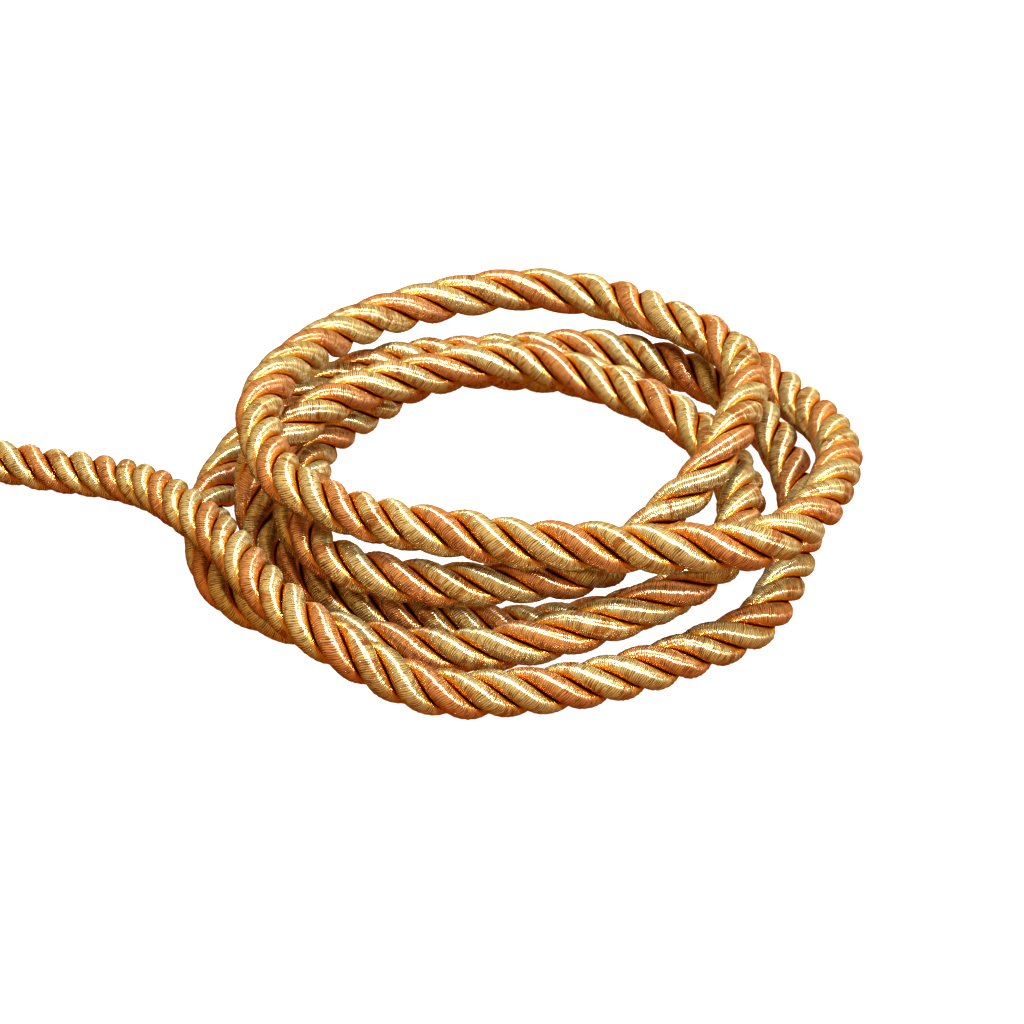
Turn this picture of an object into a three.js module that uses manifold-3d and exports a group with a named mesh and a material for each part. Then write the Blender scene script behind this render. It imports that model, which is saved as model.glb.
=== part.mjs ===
// Twisted cord trim: one length of three-ply furnishing cord, lying in a loose flat coil.
// Millimetres, +Z up, the floor is z = 0, and the view of the front looks along +Y.
import * as THREE from 'three';
import { mergeVertices } from 'three/addons/utils/BufferGeometryUtils.js';
import Module from 'manifold-3d';

// The coil: its turns go clockwise, seen from above, from the hidden end at the back right.
const COIL_CENTRE = { x: 20.4, y: -2.5 };
const FIRST_BEARING = 45; // degrees clockwise from +Y
const BEARING_STEP = 15;
// The tables' heights are those of a round cord on the floor. Its own weight presses it this much flatter.
const PRESSED = 0.3;
const HIDDEN_END = { x: 36.5, y: 49.5, height: 4 };

// One row a turn: how far out from the coil's centre the cord runs, and how high, at each bearing.
const TURNS = [
  { // over the right end, along the front on top of all, and round the back as the outermost loop
    reach: [59.5, 56.5, 55, 54, 53.5, 54, 53.5, 47, 41, 39, 37.5, 39,
      41.5, 44.5, 44.5, 45, 45, 46, 49.5, 53.5, 58, 61.5, 59.5, 51.5],
    height: [4, 5, 8.5, 12.5, 16.5, 18.5, 20.5, 21.5, 21, 21, 21, 21,
      21, 21.5, 21, 20.5, 19.5, 17, 14, 11.5, 9.5, 8.5, 9, 12.5],
  },
  { // down across the right end, under the first turn, and round inside on the floor
    reach: [50, 45, 40, 36.5, 35, 33.5, 31.5, 33.5, 36.5, 37, 39.5, 42,
      44, 43, 39.5, 36.5, 39, 39, 39, 40, 38, 36, 35.5, 36],
    height: [13, 15, 17.5, 20, 20.5, 18, 14, 12.5, 12.5, 12.5, 12.5, 12.5,
      12.5, 12, 10.5, 5, 4, 4, 4, 5, 6.5, 6.5, 6.5, 6],
  },
  { // on the floor along the front, and up over the second turn at the back
    reach: [36.5, 37, 37.5, 38, 38, 37.5, 38, 38, 38, 38.5, 38.5, 40,
      43, 45, 46, 45.5, 38.5, 35.5, 32.5, 31, 30, 29.5, 28, 27.5],
    height: [4.5, 4, 4, 4, 4, 4, 4, 4, 4, 4, 4, 4,
      4, 4, 4, 10, 13.5, 13, 12.5, 12, 12.5, 12.5, 12, 11.5],
  },
  { // down to the floor across the front, and round the back outside the second turn
    reach: [27.5, 28.5, 30.5, 33, 37, 41, 44.5, 45, 45.5, 46.5, 47, 49,
      52.5, 56.5, 55.5, 53.5, 51.5, 50.5, 50, 48.5, 46, 45.5, 48.5, 49.5],
    height: [11.5, 12, 12, 12.5, 12.5, 12.5, 12, 10.5, 9, 7, 4.5, 4,
      4, 4, 4, 4, 4, 4, 4, 4, 4, 4, 4, 4],
  },
  { // round the right end, along the front outside all, and up over the fourth turn
    reach: [49.5, 48.5, 47.5, 47.5, 48.5, 50, 53, 52.5, 53.5, 55, 58.5, 61, 58.5, 56],
    height: [4, 4, 4, 4, 4, 4, 4, 4, 4, 4, 5.5, 12.5, 14, 13],
  },
];

// The free end, from the coil's left side down to the floor and away.
const TAIL = [
  { x: -56.5, y: -16.5, height: 12 },
  { x: -63, y: -7, height: 9.5 },
  { x: -70, y: 0.5, height: 6.5 },
  { x: -77, y: 4.5, height: 5 },
  { x: -84, y: 7.5, height: 4 },
  { x: -91, y: 9.5, height: 4 },
  { x: -98, y: 11, height: 4 },
];

// How the cord is twisted and how thick it is, by the length along it.
const LAY = [
  { along: 0, turns: 0.3, girth: 8 },
  { along: 40, turns: 2.05, girth: 8.1 },
  { along: 75, turns: 3.45, girth: 8.3 },
  { along: 100, turns: 4.6, girth: 8.4 },
  { along: 130, turns: 6, girth: 8.3 },
  { along: 155, turns: 7.2, girth: 8.1 },
  { along: 175, turns: 8.4, girth: 8 },
  { along: 195, turns: 9.5, girth: 8 },
  { along: 215, turns: 10.35, girth: 8.1 },
  { along: 240, turns: 11.35, girth: 8.1 },
  { along: 270, turns: 12.5, girth: 8.2 },
  { along: 300, turns: 13.65, girth: 8.3 },
  { along: 325, turns: 14.7, girth: 8 },
  { along: 355, turns: 16, girth: 7.7 },
  { along: 385, turns: 17.05, girth: 7.5 },
  { along: 430, turns: 19.15, girth: 7.6 },
  { along: 470, turns: 21.1, girth: 7.7 },
  { along: 505, turns: 22.85, girth: 7.9 },
  { along: 535, turns: 24.45, girth: 8 },
  { along: 580, turns: 26.9, girth: 7.9 },
  { along: 665, turns: 31.3, girth: 7.8 },
  { along: 700, turns: 33.25, girth: 7.8 },
  { along: 750, turns: 35.55, girth: 7.7 },
  { along: 790, turns: 37.4, girth: 7.7 },
  { along: 825, turns: 38.95, girth: 7.8 },
  { along: 850, turns: 40, girth: 7.8 },
  { along: 885, turns: 41.7, girth: 7.8 },
  { along: 925, turns: 43.55, girth: 7.7 },
  { along: 950, turns: 44.7, girth: 7.8 },
  { along: 975, turns: 45.9, girth: 7.9 },
  { along: 1000, turns: 47.1, girth: 8 },
  { along: 1045, turns: 48.95, girth: 8.2 },
  { along: 1090, turns: 51.3, girth: 8.3 },
  { along: 1130, turns: 53.3, girth: 8 },
  { along: 1165, turns: 54.75, girth: 7.8 },
  { along: 1200, turns: 56.4, girth: 7.9 },
  { along: 1235, turns: 58.25, girth: 8 },
  { along: 1270, turns: 60.15, girth: 7.9 },
  { along: 1295, turns: 61.5, girth: 7.8 },
  { along: 1330, turns: 63.65, girth: 7.8 },
  { along: 1400, turns: 68.2, girth: 7.8 },
];

// The cord's cross-section: each of three plies has a broad crown, and a deep groove parts it from the next.
const PLIES = 3;
const CROWN_REACH = 1; // as a share of the cord's radius
const CROWN_HALF_ANGLE = 20; // degrees
const GROOVE_REACH = 0.58;
const STEPS_PER_TURN = 9;
const CURVE_DIVISIONS = 6000;

const radians = THREE.MathUtils.degToRad;

/** The points the cord's centre line goes through, from its hidden end to the end of its tail. */
function routePoints() {
  const coilPoints = TURNS.flatMap(({ reach }) => reach);
  const coilHeights = TURNS.flatMap(({ height }) => height);
  const coil = coilPoints.map((reach, i) => {
    const bearing = radians(FIRST_BEARING + BEARING_STEP * i);
    return {
      x: COIL_CENTRE.x + reach * Math.sin(bearing),
      y: COIL_CENTRE.y + reach * Math.cos(bearing),
      height: coilHeights[i],
    };
  });
  const placed = ({ x, y, height }) => new THREE.Vector3(x, y, height - PRESSED);
  const moved = ({ x, y, height }) => placed({ x: x + COIL_CENTRE.x, y: y + COIL_CENTRE.y, height });
  return [moved(HIDDEN_END), ...coil.map(placed), ...TAIL.map(moved)];
}

/** The value of one column of the lay table at another's value, in a straight line between rows. */
function fromLay(column, by, value) {
  const last = LAY.length - 1;
  const after = THREE.MathUtils.clamp(LAY.findIndex((row) => row[by] > value), 1, last);
  const [low, high] = [LAY[after - 1], LAY[after]];
  const share = (value - low[by]) / (high[by] - low[by]);
  return THREE.MathUtils.lerp(low[column], high[column], share);
}

/** The three-lobed outline of the cord, for a radius of 1, with its first crown towards +X. */
function cordSection() {
  const outline = [];
  const corner = (reach, degrees) => {
    outline.push(new THREE.Vector2(reach * Math.cos(radians(degrees)), reach * Math.sin(radians(degrees))));
  };
  const plyAngle = 360 / PLIES;
  for (let ply = 0; ply < PLIES; ply += 1) {
    corner(CROWN_REACH, ply * plyAngle - CROWN_HALF_ANGLE);
    corner(CROWN_REACH, ply * plyAngle + CROWN_HALF_ANGLE);
    corner(GROOVE_REACH, (ply + 0.5) * plyAngle);
  }
  return new THREE.Shape(outline);
}

/** The cord as one closed surface: a straight bar of the section, twisted and laid along the route. */
function twistedCord() {
  const route = new THREE.CatmullRomCurve3(routePoints(), false, 'centripetal');
  route.arcLengthDivisions = CURVE_DIVISIONS;
  const length = route.getLength();
  const firstTurn = fromLay('turns', 'along', 0);
  const turns = fromLay('turns', 'along', length) - firstTurn;
  const steps = Math.round(turns * STEPS_PER_TURN);
  const bar = new THREE.ExtrudeGeometry(cordSection(), { depth: turns, steps, bevelEnabled: false });
  const corners = bar.getAttribute('position');
  const up = new THREE.Vector3(0, 0, 1);
  const corner = new THREE.Vector3();
  for (let i = 0; i < corners.count; i += 1) {
    corner.fromBufferAttribute(corners, i);
    const turn = firstTurn + corner.z;
    const along = THREE.MathUtils.clamp(fromLay('along', 'turns', turn), 0, length);
    const centre = route.getPointAt(along / length);
    const onward = route.getTangentAt(along / length);
    const across = new THREE.Vector3().crossVectors(onward, up).normalize();
    const over = new THREE.Vector3().crossVectors(across, onward);
    const reach = (Math.hypot(corner.x, corner.y) * fromLay('girth', 'along', along)) / 2;
    const angle = Math.atan2(corner.y, corner.x) + 2 * Math.PI * turn;
    centre.addScaledVector(over, reach * Math.cos(angle)).addScaledVector(across, reach * Math.sin(angle));
    corners.setXYZ(i, centre.x, centre.y, centre.z);
  }
  return bar;
}

const wasm = await Module();
wasm.setup();

/** A closed solid from a three.js geometry, with its shared corners merged. */
function solidOf(geometry) {
  const bare = geometry.clone();
  bare.deleteAttribute('normal');
  bare.deleteAttribute('uv');
  const welded = mergeVertices(bare);
  return new wasm.Manifold(new wasm.Mesh({
    numProp: 3,
    vertProperties: new Float32Array(welded.getAttribute('position').array),
    triVerts: new Uint32Array(welded.getIndex().array),
  }));
}

/** A three.js geometry from a closed solid. */
function geometryOf(solid) {
  const { vertProperties, triVerts } = solid.getMesh();
  const geometry = new THREE.BufferGeometry();
  geometry.setAttribute('position', new THREE.BufferAttribute(vertProperties, 3));
  geometry.setIndex(new THREE.BufferAttribute(triVerts, 1));
  geometry.computeVertexNormals();
  return geometry;
}

/** The space under the floor, which the crowns that lie on it are flattened against. */
function underFloor() {
  const wide = 400;
  const deep = 10;
  return new THREE.BoxGeometry(wide, wide, deep).translate(0, 0, -deep / 2);
}

const cord = new THREE.Mesh(
  geometryOf(solidOf(twistedCord()).subtract(solidOf(underFloor()))),
  new THREE.MeshStandardMaterial({ color: 0xc99a5b, roughness: 0.4, metalness: 0 }),
);
cord.name = 'twisted_cord';

const cordTrim = new THREE.Group();
cordTrim.add(cord);

export default cordTrim;
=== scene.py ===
"""Twisted cord trim: a length of three-ply gimped furnishing cord, lying in a loose flat coil.

The cord's route, twist and thickness repeat the part's own tables, in millimetres. Every mesh is made in
metres.
"""
import logging
import math
from dataclasses import dataclass, field
from enum import Enum

import bpy
import numpy as np
from mathutils import Euler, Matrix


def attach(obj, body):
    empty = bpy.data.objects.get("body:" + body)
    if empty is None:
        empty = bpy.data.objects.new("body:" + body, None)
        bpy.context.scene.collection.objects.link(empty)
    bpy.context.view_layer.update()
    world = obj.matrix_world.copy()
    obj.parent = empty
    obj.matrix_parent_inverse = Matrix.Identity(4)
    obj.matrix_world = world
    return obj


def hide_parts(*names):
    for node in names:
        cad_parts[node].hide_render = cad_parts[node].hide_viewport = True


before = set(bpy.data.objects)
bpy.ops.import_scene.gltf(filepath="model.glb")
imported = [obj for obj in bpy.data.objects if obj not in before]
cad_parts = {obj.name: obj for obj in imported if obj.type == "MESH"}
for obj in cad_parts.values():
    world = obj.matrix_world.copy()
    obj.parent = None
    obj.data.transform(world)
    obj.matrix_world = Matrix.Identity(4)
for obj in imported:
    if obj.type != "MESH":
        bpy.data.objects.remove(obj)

LOG = logging.getLogger("cord_trim")
MM = 0.001
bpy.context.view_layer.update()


def linear(hex_colour: str) -> tuple[float, float, float, float]:
    """Turns an sRGB hex colour into linear light.

    Args:
        hex_colour: Six hex digits, such as "C98850".

    Returns:
        Red, green, blue and an alpha of 1.
    """
    parts = [int(hex_colour[i:i + 2], 16) / 255 for i in (0, 2, 4)]
    light = [p / 12.92 if p <= 0.04045 else ((p + 0.055) / 1.055) ** 2.4 for p in parts]
    return (*light, 1.0)


MATH = "ShaderNodeMath"
MIX = "ShaderNodeMix"
NOISE = "ShaderNodeTexNoise"
EASE = "ShaderNodeMapRange"
SET_POSITION = "GeometryNodeSetPosition"
STORE = "GeometryNodeStoreNamedAttribute"
SMOOTH = "SMOOTHSTEP"


def add(tree: bpy.types.NodeTree, kind: str, links: dict | None = None,
        **settings: object) -> bpy.types.Node:
    """Adds a node with its settings and links.

    Args:
        tree: The node tree that takes the node.
        kind: The node's type name.
        links: Input socket, by name or number, to a value, or to the socket or the node that feeds it.
        settings: The node's own properties.

    Returns:
        The new node.
    """
    made = tree.nodes.new(kind)
    for name, value in settings.items():
        setattr(made, name, value)
    for socket, value in (links or {}).items():
        if isinstance(value, bpy.types.Node):
            value = value.outputs[2 if value.bl_idname == MIX else 0]
        if isinstance(value, bpy.types.NodeSocket):
            tree.links.new(value, made.inputs[socket])
        else:
            made.inputs[socket].default_value = value
    return made


@dataclass(frozen=True)
class Turn:
    """One turn of the coil, from the bearing where the last turn ends.

    Args:
        reach: Distance from the coil's centre at each bearing, in millimetres.
        height: Height of the cord's centre line at each bearing, in millimetres.
    """

    reach: tuple[float, ...]
    height: tuple[float, ...]


@dataclass(frozen=True)
class LayRow:
    """How the cord is twisted and how thick it is at one place.

    Args:
        along: Distance along the cord from its hidden end, in millimetres.
        turns: Turns of twist up to there.
        girth: The cord's thickness there, in millimetres.
    """

    along: float
    turns: float
    girth: float


TURNS = (
    Turn(reach=(59.5, 56.5, 55, 54, 53.5, 54, 53.5, 47, 41, 39, 37.5, 39,
                41.5, 44.5, 44.5, 45, 45, 46, 49.5, 53.5, 58, 61.5, 59.5, 51.5),
         height=(4, 5, 8.5, 12.5, 16.5, 18.5, 20.5, 21.5, 21, 21, 21, 21,
                 21, 21.5, 21, 20.5, 19.5, 17, 14, 11.5, 9.5, 8.5, 9, 12.5)),
    Turn(reach=(50, 45, 40, 36.5, 35, 33.5, 31.5, 33.5, 36.5, 37, 39.5, 42,
                44, 43, 39.5, 36.5, 39, 39, 39, 40, 38, 36, 35.5, 36),
         height=(13, 15, 17.5, 20, 20.5, 18, 14, 12.5, 12.5, 12.5, 12.5, 12.5,
                 12.5, 12, 10.5, 5, 4, 4, 4, 5, 6.5, 6.5, 6.5, 6)),
    Turn(reach=(36.5, 37, 37.5, 38, 38, 37.5, 38, 38, 38, 38.5, 38.5, 40,
                43, 45, 46, 45.5, 38.5, 35.5, 32.5, 31, 30, 29.5, 28, 27.5),
         height=(4.5, 4, 4, 4, 4, 4, 4, 4, 4, 4, 4, 4,
                 4, 4, 4, 10, 13.5, 13, 12.5, 12, 12.5, 12.5, 12, 11.5)),
    Turn(reach=(27.5, 28.5, 30.5, 33, 37, 41, 44.5, 45, 45.5, 46.5, 47, 49,
                52.5, 56.5, 55.5, 53.5, 51.5, 50.5, 50, 48.5, 46, 45.5, 48.5, 49.5),
         height=(11.5, 12, 12, 12.5, 12.5, 12.5, 12, 10.5, 9, 7, 4.5, 4,
                 4, 4, 4, 4, 4, 4, 4, 4, 4, 4, 4, 4)),
    Turn(reach=(49.5, 48.5, 47.5, 47.5, 48.5, 50, 53, 52.5, 53.5, 55, 58.5, 61, 58.5, 56),
         height=(4, 4, 4, 4, 4, 4, 4, 4, 4, 4, 5.5, 12.5, 14, 13)),
)

LAY = (
    LayRow(along=0, turns=0.3, girth=8),
    LayRow(along=40, turns=2.05, girth=8.1),
    LayRow(along=75, turns=3.45, girth=8.3),
    LayRow(along=100, turns=4.6, girth=8.4),
    LayRow(along=130, turns=6, girth=8.3),
    LayRow(along=155, turns=7.2, girth=8.1),
    LayRow(along=175, turns=8.4, girth=8),
    LayRow(along=195, turns=9.5, girth=8),
    LayRow(along=215, turns=10.35, girth=8.1),
    LayRow(along=240, turns=11.35, girth=8.1),
    LayRow(along=270, turns=12.5, girth=8.2),
    LayRow(along=300, turns=13.65, girth=8.3),
    LayRow(along=325, turns=14.7, girth=8),
    LayRow(along=355, turns=16, girth=7.7),
    LayRow(along=385, turns=17.05, girth=7.5),
    LayRow(along=430, turns=19.15, girth=7.6),
    LayRow(along=470, turns=21.1, girth=7.7),
    LayRow(along=505, turns=22.85, girth=7.9),
    LayRow(along=535, turns=24.45, girth=8),
    LayRow(along=580, turns=26.9, girth=7.9),
    LayRow(along=665, turns=31.3, girth=7.8),
    LayRow(along=700, turns=33.25, girth=7.8),
    LayRow(along=750, turns=35.55, girth=7.7),
    LayRow(along=790, turns=37.4, girth=7.7),
    LayRow(along=825, turns=38.95, girth=7.8),
    LayRow(along=850, turns=40, girth=7.8),
    LayRow(along=885, turns=41.7, girth=7.8),
    LayRow(along=925, turns=43.55, girth=7.7),
    LayRow(along=950, turns=44.7, girth=7.8),
    LayRow(along=975, turns=45.9, girth=7.9),
    LayRow(along=1000, turns=47.1, girth=8),
    LayRow(along=1045, turns=48.95, girth=8.2),
    LayRow(along=1090, turns=51.3, girth=8.3),
    LayRow(along=1130, turns=53.3, girth=8),
    LayRow(along=1165, turns=54.75, girth=7.8),
    LayRow(along=1200, turns=56.4, girth=7.9),
    LayRow(along=1235, turns=58.25, girth=8),
    LayRow(along=1270, turns=60.15, girth=7.9),
    LayRow(along=1295, turns=61.5, girth=7.8),
    LayRow(along=1330, turns=63.65, girth=7.8),
    LayRow(along=1400, turns=68.2, girth=7.8),
)


@dataclass(frozen=True)
class CordRoute:
    """The line that the cord's centre follows, from its hidden end to the end of its tail.

    Args:
        centre: The coil's centre in plan, in millimetres.
        first_bearing: The first turn's first bearing, in degrees clockwise from +Y.
        bearing_step: Degrees from one bearing to the next.
        pressed: How much flatter than a round cord it lies on the floor, in millimetres.
        hidden_end: Where the hidden end lies from the coil's centre: x, y and height, in millimetres.
        turns: The coil's turns.
        tail: The free end's points from the coil's centre, as for the hidden end.
        divisions: Straight pieces between two of the route's points, before it is divided evenly.
    """

    centre: tuple[float, float] = (20.4, -2.5)
    first_bearing: float = 45
    bearing_step: float = 15
    pressed: float = 0.3
    hidden_end: tuple[float, float, float] = (36.5, 49.5, 4)
    turns: tuple[Turn, ...] = TURNS
    tail: tuple[tuple[float, float, float], ...] = (
        (-56.5, -16.5, 12), (-63, -7, 9.5), (-70, 0.5, 6.5), (-77, 4.5, 5),
        (-84, 7.5, 4), (-91, 9.5, 4), (-98, 11, 4))
    divisions: int = 48

    def knots(self) -> np.ndarray:
        """Works out the points that the route goes through.

        Returns:
            The points in metres, one row each.
        """
        rows = [self.hidden_end]
        places = [pair for turn in self.turns for pair in zip(turn.reach, turn.height)]
        for i, (reach, height) in enumerate(places):
            bearing = math.radians(self.first_bearing + self.bearing_step * i)
            rows.append((reach * math.sin(bearing), reach * math.cos(bearing), height))
        rows += self.tail
        return (np.array(rows, float) + (*self.centre, -self.pressed)) * MM

    def line(self, step: float) -> tuple[np.ndarray, np.ndarray]:
        """Follows a centripetal Catmull-Rom curve through the knots.

        Args:
            step: Distance between the line's points, in metres.

        Returns:
            The line's points and the distance along it of each, in metres.
        """
        knots = self.knots()
        ends = (2 * knots[0] - knots[1], 2 * knots[-1] - knots[-2])
        knots = np.vstack([ends[0], knots, ends[1]])
        share = np.linspace(0, 1, self.divisions, endpoint=False)[:, None]
        pieces = []
        for p0, p1, p2, p3 in zip(knots, knots[1:], knots[2:], knots[3:]):
            pairs = ((p0, p1), (p1, p2), (p2, p3))
            d0, d1, d2 = (math.sqrt(float(np.linalg.norm(b - a))) for a, b in pairs)
            start = ((p1 - p0) / d0 - (p2 - p0) / (d0 + d1) + (p2 - p1) / d1) * d1
            end = ((p2 - p1) / d1 - (p3 - p1) / (d1 + d2) + (p3 - p2) / d2) * d1
            cube, square = share ** 3, share ** 2
            pieces.append((2 * cube - 3 * square + 1) * p1 + (cube - 2 * square + share) * start
                          + (3 * square - 2 * cube) * p2 + (cube - square) * end)
        fine = np.vstack([*pieces, knots[-2]])
        run = np.concatenate([[0], np.cumsum(np.linalg.norm(np.diff(fine, axis=0), axis=1))])
        along = np.linspace(0, run[-1], round(run[-1] / step) + 1)
        return np.stack([np.interp(along, run, fine[:, i]) for i in range(3)], 1), along


class Yarn(Enum):
    """The three plies, by the colour of their wrapping, with the share of a turn that each is ahead."""

    COPPER = 0 / 3
    STRIPED = 1 / 3
    PALE = 2 / 3


# The ply's own map: centimetres along it, and the share of the way round it.
THREAD_MAP = "threads"
MM_TO_A_CENTIMETRE = 10.0
CENTIMETRES_TO_A_METRE = 100.0
# The pattern's values between which the finish goes from one look to the next.
# The first two paint shade into the gaps between the threads and onto the sunken threads.
THREAD_GAP_SHADE = {"From Min": 0.1, "From Max": 0.75}
SUNKEN_THREAD_SHADE = {"From Min": 0.32, "From Max": 0.6, "To Min": -0.3, "To Max": 0.7}
BRIGHT_PATCH = {"From Min": 0.3, "From Max": 0.7, "To Min": 0.9, "To Max": 1.1}
STRIPE_EDGE = {"From Min": 0.47, "From Max": 0.64}
# A group of odd threads takes up about this share of one step of its pattern.
STRIPE_SHARE = 0.6
# How far round from the crown, as a share of the way round, the ply's side lies beside and in a groove,
# where amber bounce light and then shade are painted.
GLOW_BESIDE_GROOVE = {"From Min": 0.2, "From Max": 0.265}
SHADE_IN_GROOVE = {"From Min": 0.275, "From Max": 0.31}


@dataclass(frozen=True)
class GimpFinish:
    """Gimp: a soft core wrapped round and round in shiny rayon filament, dyed before it is wrapped.

    Rayon gives a hard white line of light along each ply, which the wrapping threads break up. Shade is
    painted into the gaps between the threads, amber bounce light from the next ply is painted beside a
    groove, and shade is painted down in it.

    Args:
        name: The material's name.
        lit: The thread's colour.
        shade: Painted shade in the gaps between the threads.
        painted_glow: Amber bounce light from the next ply, painted beside a groove.
        deep: Painted shade down in a groove.
        stripe: The colour of the odd threads, or nothing where all are alike.
        thread_mm: Thickness of one wrapping thread.
        sway_mm: How far a thread strays from its place along the ply.
        sways: About how often it does so in a millimetre.
        stripe_mm: About how wide a group of odd threads is.
        patch_mm: About how long a brighter or darker patch of the ply is.
        unlike: How much one thread's stand differs from the next one's. Near 0, all stand alike.
        rises: How often a thread rises and sinks again on its way round the ply.
        proud_by: How much higher the proudest thread stands than the most sunken, in heights of a thread.
        bump_mm: Height of a thread above the gap beside it.
        roughness: How far the line of light spreads.
        metallic: How much of the dye shows in the thread's shine.
        ior: Index of refraction, above rayon's own, so that the line of light is as hard as a real one.
    """

    name: str
    lit: str
    shade: str
    painted_glow: str
    deep: str
    stripe: str = ""
    thread_mm: float = 0.29
    sway_mm: float = 0.45
    sways: float = 1.4
    stripe_mm: float = 0.85
    patch_mm: float = 4.0
    unlike: float = 0.83
    rises: float = 5.0
    proud_by: float = 3.5
    bump_mm: float = 0.035
    roughness: float = 0.26
    metallic: float = 0.65
    ior: float = 1.9

    def material(self) -> bpy.types.Material:
        """Builds the material, whose pattern follows the ply through its own map.

        Returns:
            The material.
        """
        made = bpy.data.materials.new(self.name)
        made.use_nodes = True
        tree = made.node_tree
        tree.nodes.clear()
        place = add(tree, "ShaderNodeSeparateXYZ", {0: add(tree, "ShaderNodeUVMap", uv_map=THREAD_MAP)})
        along = add(tree, MATH, {0: place.outputs[0], 1: MM_TO_A_CENTIMETRE}, operation="MULTIPLY")
        round_it = place.outputs[1]
        thread, count = self.threads(tree, along, round_it)
        proud = self.proud(tree, count, round_it)
        shaded = self.shaded(tree, thread, proud, self.dye(tree, along, round_it))
        colour = self.groove_glow_and_shade(tree, self.patches(tree, shaded, along, round_it), round_it)
        rise = add(tree, MATH, {0: proud, 1: self.proud_by}, operation="MULTIPLY")
        relief = add(tree, MATH, {0: thread, 1: rise}, operation="ADD")
        bump = add(tree, "ShaderNodeBump", {
            "Height": relief, "Strength": 1.0, "Distance": self.bump_mm * MM})
        tangent = add(tree, "ShaderNodeTangent", direction_type="UV_MAP", uv_map=THREAD_MAP)
        shader = add(tree, "ShaderNodeBsdfPrincipled", {
            "Base Color": colour, "Roughness": self.roughness, "Metallic": self.metallic,
            "Anisotropic": 1.0, "IOR": self.ior, "Specular IOR Level": 1.0, "Normal": bump,
            "Tangent": tangent})
        add(tree, "ShaderNodeOutputMaterial", {"Surface": shader})
        return made

    def threads(self, tree: bpy.types.NodeTree, along: bpy.types.Node,
                round_it: bpy.types.NodeSocket) -> tuple[bpy.types.Node, bpy.types.Node]:
        """Lays the wrapping threads side by side along the ply.

        Args:
            tree: The material's tree.
            along: Distance along the ply in millimetres.
            round_it: Share of the way round the ply.

        Returns:
            The threads' height, from 0 between two to 1 on top of one, and the count of threads up to here.
        """
        sway = add(tree, NOISE, {"Vector": add(tree, "ShaderNodeCombineXYZ", {0: along, 1: round_it}),
                                 "Scale": self.sways, "Detail": 2.0})
        swayed = add(tree, MATH, {0: sway, 1: self.sway_mm, 2: along}, operation="MULTIPLY_ADD")
        count = add(tree, MATH, {0: swayed, 1: self.thread_mm}, operation="DIVIDE")
        angle = add(tree, MATH, {0: count, 1: 2 * math.pi}, operation="MULTIPLY")
        wave = add(tree, MATH, {0: angle}, operation="COSINE")
        height = add(tree, MATH, {0: wave, 1: -0.5, 2: 0.5}, operation="MULTIPLY_ADD")
        return height, add(tree, MATH, {0: count}, operation="FLOOR")

    def proud(self, tree: bpy.types.NodeTree, count: bpy.types.Node,
              round_it: bpy.types.NodeSocket) -> bpy.types.Node:
        """Lets each thread stand proud or sink, differently round the ply.

        Args:
            tree: The material's tree.
            count: The count of threads up to here.
            round_it: Share of the way round the ply.

        Returns:
            The node that gives how proud it stands, from 0 to 1 and mostly near a half.
        """
        thread = add(tree, MATH, {0: count, 1: self.unlike}, operation="MULTIPLY")
        part = add(tree, MATH, {0: round_it, 1: self.rises}, operation="MULTIPLY")
        return add(tree, NOISE, {"Vector": add(tree, "ShaderNodeCombineXYZ", {0: thread, 1: part}),
                                 "Scale": 1.0, "Detail": 1.0})

    def dye(self, tree: bpy.types.NodeTree, along: bpy.types.Node,
            round_it: bpy.types.NodeSocket) -> tuple[float, float, float, float] | bpy.types.Node:
        """Gives the threads their colour: one, or two in uneven groups.

        Args:
            tree: The material's tree.
            along: Distance along the ply in millimetres.
            round_it: Share of the way round the ply.

        Returns:
            A colour, or the node that gives it.
        """
        if not self.stripe:
            return linear(self.lit)
        groups = add(tree, MATH, {0: along, 1: self.stripe_mm / STRIPE_SHARE}, operation="DIVIDE")
        group = add(tree, NOISE, {"Vector": add(tree, "ShaderNodeCombineXYZ", {0: groups, 1: round_it}),
                                  "Scale": 1.0, "Detail": 3.0, "Roughness": 0.7})
        share = add(tree, EASE, {"Value": group, **STRIPE_EDGE}, interpolation_type=SMOOTH)
        return add(tree, MIX, {0: share, 6: linear(self.lit), 7: linear(self.stripe)}, data_type="RGBA")

    def shaded(self, tree: bpy.types.NodeTree, thread: bpy.types.Node, proud: bpy.types.Node,
               dye: tuple[float, float, float, float] | bpy.types.Node) -> bpy.types.Node:
        """Paints shade into the gaps between the threads, most of all where the threads are sunken.

        Args:
            tree: The material's tree.
            thread: The threads' height.
            proud: How proud the threads stand.
            dye: The threads' colour, or the node that gives it.

        Returns:
            The node that gives the colour.
        """
        top = add(tree, EASE, {"Value": thread, **THREAD_GAP_SHADE}, interpolation_type=SMOOTH)
        lift = add(tree, EASE, {"Value": proud, **SUNKEN_THREAD_SHADE})
        lit = add(tree, MATH, {0: top, 1: lift}, operation="ADD", use_clamp=True)
        return add(tree, MIX, {0: lit, 6: linear(self.shade), 7: dye}, data_type="RGBA")

    def patches(self, tree: bpy.types.NodeTree, colour: bpy.types.Node, along: bpy.types.Node,
                round_it: bpy.types.NodeSocket) -> bpy.types.Node:
        """Makes some patches of the ply a little brighter or darker.

        Args:
            tree: The material's tree.
            colour: The node that gives the colour so far.
            along: Distance along the ply in millimetres.
            round_it: Share of the way round the ply.

        Returns:
            The node that gives the colour.
        """
        patch = add(tree, NOISE, {"Vector": add(tree, "ShaderNodeCombineXYZ", {0: along, 1: round_it}),
                                  "Scale": 1 / self.patch_mm, "Detail": 2.0})
        bright = add(tree, EASE, {"Value": patch, **BRIGHT_PATCH})
        return add(tree, "ShaderNodeVectorMath", {0: colour, "Scale": bright}, operation="SCALE")

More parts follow.
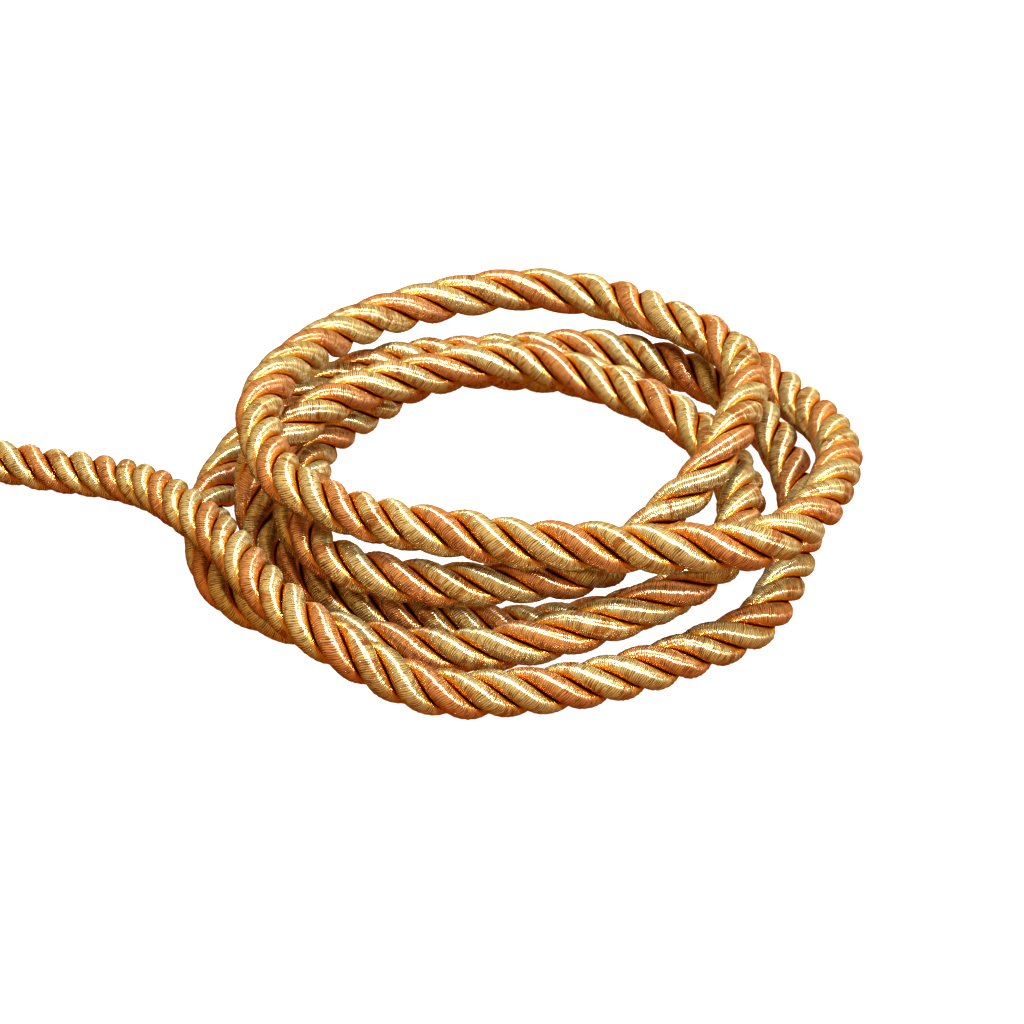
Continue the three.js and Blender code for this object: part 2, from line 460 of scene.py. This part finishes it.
    def groove_glow_and_shade(self, tree: bpy.types.NodeTree, colour: bpy.types.Node,
                round_it: bpy.types.NodeSocket) -> bpy.types.Node:
        """Paints amber bounce light on the ply's sides beside a groove, and shade down in it.

        Args:
            tree: The material's tree.
            colour: The node that gives the colour so far.
            round_it: Share of the way round the ply, a half at its crown.

        Returns:
            The node that gives the colour.
        """
        ahead = add(tree, MATH, {0: round_it, 1: 0.5}, operation="SUBTRACT")
        off = add(tree, MATH, {0: ahead}, operation="ABSOLUTE")
        for edge, hex_colour in ((GLOW_BESIDE_GROOVE, self.painted_glow), (SHADE_IN_GROOVE, self.deep)):
            share = add(tree, EASE, {"Value": off, **edge}, interpolation_type=SMOOTH)
            colour = add(tree, MIX, {0: share, 6: colour, 7: linear(hex_colour)}, data_type="RGBA")
        return colour


# In each finish, shade and the groove's dark colour are painted shade, and the amber beside a groove is
# painted bounce light.
FINISHES = {
    Yarn.COPPER: GimpFinish(
        name="copper_rayon_gimp", lit="D6A470", shade="80400C", painted_glow="D08410", deep="8C3200"),
    Yarn.STRIPED: GimpFinish(
        name="striped_rayon_gimp", lit="D8C892", shade="7C4C08", painted_glow="D49010", deep="8C3A00",
        stripe="B67840"),
    Yarn.PALE: GimpFinish(
        name="pale_gold_rayon_gimp", lit="D6C694", shade="7A5008", painted_glow="D49414", deep="8C3E00"),
}


# The least x, y and z that the cord's surface has, in metres: x and y are free, and z stops at the floor.
LEAST_PLACE = (-9.0, -9.0, 0.0)


@dataclass
class TwistedCord:
    """The cord: three gimped plies twisted right-handed round one another, along the whole route.

    Args:
        route: The line that the cord follows.
        lay: How it is twisted and how thick it is.
        step: Distance between the sections of a ply, in metres.
        ply_offset: How far a ply's centre is from the cord's, as a share of the cord's thickness.
        ply_deep: Half a ply's depth, from the cord's centre outwards, as the same share.
        ply_broad: Half a ply's breadth round the cord, as the same share.
        ply_fill: How much of the room between its neighbours a ply fills.
        ply_bend: How softly a ply's round side turns into its squeezed one, as a share of the thickness.
        ply_sides: Sides of a ply's section.
        unevenness: How far the plies' surface wanders from its lowest to its highest, in metres.
        swells: Swells of that surface to a metre.
        seed: Fixed seed of those swells, of which each ply takes its own share.
        slot: The solid's material slot that the cord takes; not used.
        node: The solid that the cord stands for.
    """

    route: CordRoute = field(default_factory=CordRoute)
    lay: tuple[LayRow, ...] = LAY
    step: float = 1.0 * MM
    ply_offset: float = 0.262
    ply_deep: float = 0.238
    ply_broad: float = 0.288
    ply_fill: float = 0.985
    ply_bend: float = 0.03
    ply_sides: int = 20
    unevenness: float = 0.5 * MM
    swells: float = 230.0
    seed: float = 7.0
    slot: str = "gimped_yarn"
    node: str = "twisted_cord"

    def centreline(self) -> tuple[bpy.types.Object, np.ndarray, float]:
        """Lays the cord's centre line as a chain of edges that carries its twist and thickness.

        Returns:
            The object, the line's points and its length in metres.
        """
        points, along = self.route.line(self.step)
        rows = np.array([(row.along * MM, row.turns, row.girth * MM) for row in self.lay])
        twist = 2 * math.pi * np.interp(along, rows[:, 0], rows[:, 1])
        girth = np.interp(along, rows[:, 0], rows[:, 2])
        slant = np.gradient(twist, along) * self.ply_offset * girth
        wound = np.concatenate([[0], np.cumsum(np.diff(along) * np.sqrt(1 + slant[1:] ** 2))])
        lean = slant / np.sqrt(1 + slant ** 2)
        mesh = bpy.data.meshes.new("cord_centreline")
        mesh.from_pydata(points.tolist(), [(i, i + 1) for i in range(len(points) - 1)], [])
        for name, values in (("twist", twist), ("girth", girth), ("wound", wound), ("lean", lean)):
            mesh.attributes.new(name, "FLOAT", "POINT").data.foreach_set("value", values.astype(np.float32))
        line = bpy.data.objects.new("cord_centreline", mesh)
        bpy.context.scene.collection.objects.link(line)
        return line, points, float(along[-1])

    def ply_section(self, tree: bpy.types.NodeTree, given: bpy.types.NodeOutputs,
                    round_it: bpy.types.Node) -> bpy.types.Node:
        """Draws a ply's section: round at its crown, and flat where it meets the next plies.

        Args:
            tree: The tree that sweeps a ply.
            given: The tree's inputs.
            round_it: The node that reads how far round the section a point is.

        Returns:
            The section's curve, which keeps how far round it and how far aside each point is.
        """
        ring = add(tree, "GeometryNodeCurvePrimitiveCircle", {"Resolution": given["Sides"], "Radius": 1.0})
        ring = add(tree, STORE, {
            "Geometry": ring, "Name": "round_it", "Value": add(tree, "GeometryNodeSplineParameter")},
            data_type="FLOAT", domain="POINT")
        turn = add(tree, MATH, {0: round_it, 1: 2 * math.pi}, operation="MULTIPLY")
        cosine = add(tree, MATH, {0: turn}, operation="COSINE")
        sine = add(tree, MATH, {0: turn}, operation="SINE")
        inward = add(tree, MATH, {0: given["Deep"], 1: cosine}, operation="MULTIPLY")
        outward = add(tree, MATH, {0: given["Offset"], 1: inward}, operation="SUBTRACT")
        # Each ply is squeezed flat where it meets the next, a sixth of a turn either way.
        half_ply = math.pi / len(Yarn)
        aside = add(tree, MATH, {0: given["Broad"], 1: sine}, operation="MULTIPLY")
        broad = add(tree, MATH, {0: aside}, operation="ABSOLUTE")
        room = add(tree, MATH, {0: outward, 1: math.tan(half_ply) * self.ply_fill}, operation="MULTIPLY")
        broad = add(tree, MATH, {0: broad, 1: room, 2: self.ply_bend}, operation="SMOOTH_MIN")
        sign = add(tree, MATH, {0: sine}, operation="SIGN")
        side = add(tree, MATH, {0: sign, 1: -1.0}, operation="MULTIPLY")
        aside = add(tree, MATH, {0: broad, 1: side}, operation="MULTIPLY")
        ring = add(tree, SET_POSITION, {
            "Geometry": ring, "Position": add(tree, "ShaderNodeCombineXYZ", {0: outward, 1: aside})})
        return add(tree, STORE, {"Geometry": ring, "Name": "aside", "Value": aside},
                   data_type="FLOAT", domain="POINT")

    def lie(self, tree: bpy.types.NodeTree, swept: bpy.types.Node,
            given: bpy.types.NodeOutputs) -> bpy.types.Node:
        """Makes a swept ply's surface uneven, and keeps it above the floor.

        Args:
            tree: The tree that sweeps a ply.
            swept: The even ply.
            given: The tree's inputs.

        Returns:
            The ply as it lies.
        """
        where = add(tree, "GeometryNodeInputPosition")
        noise = add(tree, NOISE, {"Vector": where, "W": given["Seed"], "Scale": self.swells, "Detail": 2.0},
                    noise_dimensions="4D")
        in_or_out = add(tree, MATH, {0: noise, 1: 0.5}, operation="SUBTRACT")
        swell = add(tree, MATH, {0: in_or_out, 1: given["Unevenness"]}, operation="MULTIPLY")
        moved = add(tree, "ShaderNodeVectorMath", {0: add(tree, "GeometryNodeInputNormal"), "Scale": swell},
                    operation="SCALE")
        uneven = add(tree, SET_POSITION, {"Geometry": swept, "Offset": moved})
        on_floor = add(tree, "ShaderNodeVectorMath", {0: where, 1: LEAST_PLACE}, operation="MAXIMUM")
        return add(tree, SET_POSITION, {"Geometry": uneven, "Position": on_floor})

    def ply_tree(self) -> bpy.types.NodeTree:
        """Builds the Geometry Nodes tree that sweeps one ply along the twisted centre line.

        Returns:
            The tree, with named inputs for the ply's sizes.
        """
        tree = bpy.data.node_groups.new("ply_along_cord", "GeometryNodeTree")
        sockets = tree.interface
        sockets.new_socket("Geometry", in_out="INPUT", socket_type="NodeSocketGeometry")
        for name in ("Offset", "Deep", "Broad", "Ahead", "Unevenness", "Seed"):
            sockets.new_socket(name, in_out="INPUT", socket_type="NodeSocketFloat")
        sockets.new_socket("Sides", in_out="INPUT", socket_type="NodeSocketInt")
        sockets.new_socket("Material", in_out="INPUT", socket_type="NodeSocketMaterial")
        sockets.new_socket("Geometry", in_out="OUTPUT", socket_type="NodeSocketGeometry")
        given = add(tree, "NodeGroupInput").outputs
        read = {name: add(tree, "GeometryNodeInputNamedAttribute", {"Name": name}, data_type="FLOAT")
                for name in ("twist", "girth", "wound", "lean", "round_it", "aside")}

        line = add(tree, "GeometryNodeMeshToCurve", {"Mesh": given["Geometry"]})
        line = add(tree, "GeometryNodeSetCurveNormal", {"Curve": line}, mode="Z_UP")
        line = add(tree, "GeometryNodeSetCurveTilt", {
            "Curve": line, "Tilt": add(tree, MATH, {0: read["twist"], 1: given["Ahead"]}, operation="ADD")})
        swept = add(tree, "GeometryNodeCurveToMesh", {
            "Curve": line, "Profile Curve": self.ply_section(tree, given, read["round_it"]),
            "Scale": read["girth"], "Fill Caps": True})
        laid = self.lie(tree, swept, given)

        # The wrapping runs square across the ply, which leans over as it goes round the cord.
        leaning = add(tree, MATH, {0: read["girth"], 1: read["lean"]}, operation="MULTIPLY")
        slanted = add(tree, MATH, {0: read["aside"], 1: leaning, 2: read["wound"]},
                      operation="MULTIPLY_ADD")
        centimetres = add(tree, MATH, {0: slanted, 1: CENTIMETRES_TO_A_METRE}, operation="MULTIPLY")
        mapped = add(tree, STORE, {
            "Geometry": laid, "Name": THREAD_MAP,
            "Value": add(tree, "ShaderNodeCombineXYZ", {0: centimetres, 1: read["round_it"]})},
            data_type="FLOAT2", domain="CORNER")
        smooth = add(tree, "GeometryNodeSetShadeSmooth", {"Geometry": mapped})
        real = add(tree, "GeometryNodeRealizeInstances", {"Geometry": smooth})
        add(tree, "NodeGroupOutput", {0: add(tree, "GeometryNodeSetMaterial", {
            "Geometry": real, "Material": given["Material"]})})
        return tree

    def ply(self, line: bpy.types.Object, tree: bpy.types.NodeTree, yarn: Yarn) -> bpy.types.Object:
        """Sweeps one ply and turns it into a plain mesh.

        Args:
            line: The cord's centre line.
            tree: The tree that sweeps a ply.
            yarn: Which ply it is.

        Returns:
            The ply's object.
        """
        modifier = line.modifiers.new("ply", "NODES")
        modifier.node_group = tree
        # Without a tilt, a ply would lie at the cord's side, a quarter of a turn from its top.
        ahead = 2 * math.pi * (yarn.value - 0.25)
        sizes = {"Offset": self.ply_offset, "Deep": self.ply_deep, "Broad": self.ply_broad,
                 "Ahead": ahead, "Unevenness": self.unevenness, "Sides": self.ply_sides,
                 "Seed": self.seed * yarn.value, "Material": FINISHES[yarn].material()}
        for item in tree.interface.items_tree:
            if item.in_out == "INPUT" and item.name in sizes:
                modifier[item.identifier] = sizes[item.name]
        evaluated = line.evaluated_get(bpy.context.evaluated_depsgraph_get())
        mesh = bpy.data.meshes.new_from_object(evaluated)
        line.modifiers.remove(modifier)
        mesh.name = f"{yarn.name.lower()}_ply"
        ply = bpy.data.objects.new(mesh.name, mesh)
        bpy.context.scene.collection.objects.link(ply)
        return ply

    def build(self) -> bpy.types.Object:
        """Returns:
            The cord's object.
        """
        line, points, length = self.centreline()
        tree = self.ply_tree()
        plies = [self.ply(line, tree, yarn) for yarn in Yarn]
        bpy.data.objects.remove(line)
        with bpy.context.temp_override(active_object=plies[0], selected_editable_objects=plies):
            bpy.ops.object.join()
        cord = plies[0]
        cord.name = "three_ply_cord"
        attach(cord, "root")
        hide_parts(self.node)
        return cord


@dataclass(frozen=True)
class PaperFinish:
    """Matt pale paper, lit so evenly that the cord's shadow hardly shows on it.

    Args:
        name: The material's name.
        colour: The paper's colour.
        roughness: How matt it is.
        light: The even light on it, a little cool.
        light_strength: How strong that light is.
    """

    name: str = "pale_paper"
    colour: str = "8C8A8C"
    roughness: float = 0.9
    light: tuple[float, float, float, float] = (0.93, 0.95, 1.0, 1)
    light_strength: float = 0.78

    def material(self) -> bpy.types.Material:
        """Builds the material.

        Returns:
            The material.
        """
        made = bpy.data.materials.new(self.name)
        made.use_nodes = True
        tree = made.node_tree
        tree.nodes.clear()
        shader = add(tree, "ShaderNodeBsdfPrincipled", {
            "Base Color": linear(self.colour), "Roughness": self.roughness, "Specular IOR Level": 0.0,
            "Emission Color": self.light, "Emission Strength": self.light_strength})
        add(tree, "ShaderNodeOutputMaterial", {"Surface": shader})
        return made


@dataclass(frozen=True)
class Lamp:
    """A square lamp with a soft light.

    Args:
        name: The lamp's name.
        place: Where it hangs, in metres.
        side: Its side, in metres.
        power: Its power in watts.
    """

    name: str
    place: tuple[float, float, float]
    side: float
    power: float


@dataclass
class Studio:
    """The pale floor, the lamps and the camera at the photograph's viewing angle.

    Args:
        aim: The floor point in the middle of the picture, in metres.
        distance: From the camera to that point, in metres.
        elevation: The camera's angle above the floor, in degrees.
        focal: Focal length in pictures' widths.
        film_width: Width of the camera's film, in millimetres.
        near: Where the camera's view begins, in metres.
        far: Where it ends, in metres.
        cove_flat: Radius of the floor's flat part, in metres.
        cove_curve: Radius of the curve from the floor up into the wall, in metres.
        cove_top: Height of the wall's top, in metres.
        cove_bends: Straight steps in that curve.
        cove_sides: Straight steps round the floor.
        paper: The floor's finish.
        lamps: The key lamp over the coil, and a weaker one at the front right.
        lit_point: The point that the lamps face, in metres.
        lamp_colour: The lamps' colour, a little cool.
        room_above: Light from the room above the cord.
        room_below: Light that the floor sends back, warm from the cord itself.
        room_blend: Sine of the angle, above and below the horizon, between which the one turns to the other.
    """

    aim: tuple[float, float, float] = (0.0184, -0.0025, -0.0003)
    distance: float = 0.5045
    elevation: float = 35
    focal: float = 2900 / 1024
    film_width: float = 36.0
    near: float = 0.01
    far: float = 20
    cove_flat: float = 3.0
    cove_curve: float = 1.5
    cove_top: float = 4.5
    cove_bends: int = 8
    cove_sides: int = 72
    paper: PaperFinish = field(default_factory=PaperFinish)
    lamps: tuple[Lamp, ...] = (
        Lamp(name="key", place=(0.02, 0.08, 1.5), side=0.2, power=21),
        Lamp(name="fill", place=(0.6, -0.72, 0.85), side=0.2, power=12))
    lit_point: tuple[float, float, float] = (0.02, 0.0, 0.0)
    lamp_colour: tuple[float, float, float] = (0.87, 1.04, 1.2)
    room_above: tuple[float, float, float, float] = (0.66, 0.46, 0.22, 1)
    room_below: tuple[float, float, float, float] = (0.36, 0.12, 0.01, 1)
    room_blend: float = 0.7

    def cove(self) -> None:
        """Lays the pale floor, which curves up into a wall all round.

        It is there for the camera alone, so that it throws no white light up under the cord.
        """
        flat, curve, sides = self.cove_flat, self.cove_curve, self.cove_sides
        bends = [math.pi / 2 * i / self.cove_bends for i in range(self.cove_bends + 1)]
        rows = [(flat + curve * math.sin(a), curve * (1 - math.cos(a))) for a in bends]
        rows += [(flat + curve, self.cove_top)]
        ring = [2 * math.pi * i / sides for i in range(sides)]
        points = [(r * math.cos(a), r * math.sin(a), z) for r, z in rows for a in ring]
        faces = [tuple(range(sides))]
        for row in range(len(rows) - 1):
            low, high = row * sides, (row + 1) * sides
            around = [(i, (i + 1) % sides) for i in range(sides)]
            faces += [(low + i, high + i, high + onward, low + onward) for i, onward in around]
        mesh = bpy.data.meshes.new("pale_cove")
        mesh.from_pydata(points, [], faces)
        mesh.shade_smooth()
        mesh.materials.append(self.paper.material())
        cove = bpy.data.objects.new("pale_cove", mesh)
        cove.visible_diffuse = cove.visible_glossy = cove.visible_shadow = False
        bpy.context.scene.collection.objects.link(cove)

    def hang(self, lamp: Lamp) -> None:
        """Hangs one lamp, which faces the coil.

        Args:
            lamp: The lamp.
        """
        data = bpy.data.lights.new(lamp.name, "AREA")
        data.shape = "SQUARE"
        data.size = lamp.side
        data.energy = lamp.power
        data.color = self.lamp_colour
        hung = bpy.data.objects.new(lamp.name, data)
        hung.location = lamp.place
        facing = np.array(self.lit_point, float) - np.array(lamp.place, float)
        turned = math.pi + math.atan2(facing[0], -facing[1])
        tipped = math.acos(-facing[2] / float(np.linalg.norm(facing)))
        hung.rotation_euler = Euler((tipped, 0, turned), "XYZ")
        bpy.context.scene.collection.objects.link(hung)

    def light(self) -> None:
        """Hangs the lamps in a warm, pale room."""
        for lamp in self.lamps:
            self.hang(lamp)
        world = bpy.data.worlds.new("warm_room")
        world.use_nodes = True
        tree = world.node_tree
        tree.nodes.clear()
        way = add(tree, "ShaderNodeSeparateXYZ", {0: add(tree, "ShaderNodeTexCoord")})
        above = add(tree, EASE, {
            "Value": way.outputs[2], "From Min": -self.room_blend, "From Max": self.room_blend})
        colour = add(tree, MIX, {0: above, 6: self.room_below, 7: self.room_above}, data_type="RGBA")
        add(tree, "ShaderNodeOutputWorld", {"Surface": add(tree, "ShaderNodeBackground", {"Color": colour})})
        bpy.context.scene.world = world

    def camera(self) -> None:
        """Puts the camera where the photograph was taken from."""
        rise = math.radians(self.elevation)
        data = bpy.data.cameras.new("camera")
        data.sensor_width = self.film_width
        data.lens = self.focal * self.film_width
        data.clip_start, data.clip_end = self.near, self.far
        camera = bpy.data.objects.new("camera", data)
        x, y, z = self.aim
        camera.location = (x, y - self.distance * math.cos(rise), z + self.distance * math.sin(rise))
        camera.rotation_euler = Euler((math.pi / 2 - rise, 0, 0), "XYZ")
        bpy.context.scene.collection.objects.link(camera)
        bpy.context.scene.camera = camera

    def build(self) -> None:
        """Sets up the camera, the floor and the lights."""
        self.camera()
        self.cove()
        self.light()
        view = bpy.context.scene.view_settings
        view.view_transform, view.look = "Standard", "High Contrast"


def main() -> None:
    """Builds the studio and the cord."""
    logging.basicConfig(level=logging.INFO)
    Studio().build()
    cord = TwistedCord().build()
    LOG.info("%s: %d faces", cord.name, len(cord.data.polygons))


if __name__ == "__main__":
    main()
